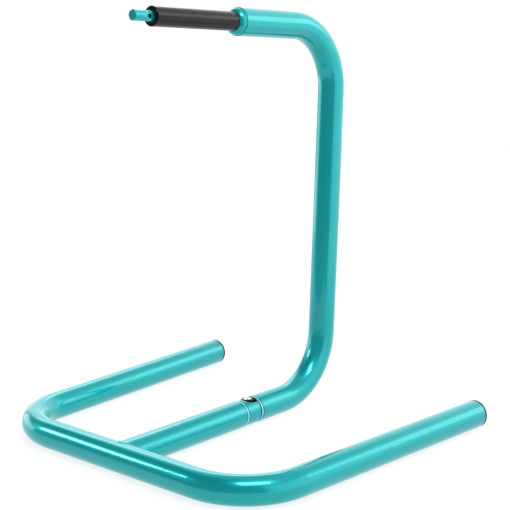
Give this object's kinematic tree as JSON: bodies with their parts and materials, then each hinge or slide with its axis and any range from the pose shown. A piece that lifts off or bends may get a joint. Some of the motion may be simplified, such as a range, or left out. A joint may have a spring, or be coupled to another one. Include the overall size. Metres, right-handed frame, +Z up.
{
  "type": "bicycle crank spindle stand",
  "caption": "Folding floor stand of bent round tube: splayed U base, swivelling upright with push button, and a sleeved peg with hinged tip for a hollow crank spindle.",
  "frame": {"origin": "on the floor below the middle of the stand's bounding box", "axes": "+X along the spine from the cross run to the upright, +Y to the left leg, +Z up"},
  "size_m": [0.3113, 0.3548, 0.3849],
  "materials": {
    "teal_paint": "glossy metallic",
    "sleeve_black": "matt",
    "plug_black": "matt",
    "washer_black": "satin",
    "chrome": "polished",
    "steel": "bright zinc",
    "dark_steel": "black oxide"
  },
  "bodies": {
    "base": {"base_tube": "teal_paint", "spine_tube": "teal_paint", "spine_weld": "teal_paint", "leg_plug_left": "plug_black", "leg_plug_right": "plug_black", "base_ring": "teal_paint", "swivel_collar": "teal_paint", "thrust_washer": "washer_black", "button_bezel": "washer_black", "button_spring": "steel"},
    "button": {"snap_button": "chrome"},
    "upright": {"upright_tube": "teal_paint", "upright_ring": "teal_paint", "swivel_pin": "steel", "spring_washer": "steel", "retaining_washer": "steel", "retaining_screw": "steel", "arm_boss": "teal_paint", "peg_core": "teal_paint", "peg_sleeve": "sleeve_black"},
    "tip": {"hinge_tip": "teal_paint", "tip_screw": "dark_steel", "tip_shims": "steel"}
  },
  "joints": [
    {"name": "upright_swivel", "type": "hinge", "parent": "base", "child": "upright", "pos_m": [0, 0, 0.0127], "axis": [1, 0, 0], "range_deg": [-80, 80]},
    {"name": "button_press", "type": "slide", "parent": "base", "child": "button", "axis": [0, 0, -1], "range_m": [0, 0.0018], "stiffness_N_per_m": 800, "springref_m": -0.002, "deforming": ["button_spring"]},
    {"name": "tip_hinge", "type": "hinge", "parent": "upright", "child": "tip", "pos_m": [-0.10296, 0, 0.37677], "axis": [0, 1, 0], "range_deg": [-90, 90]}
  ]
}
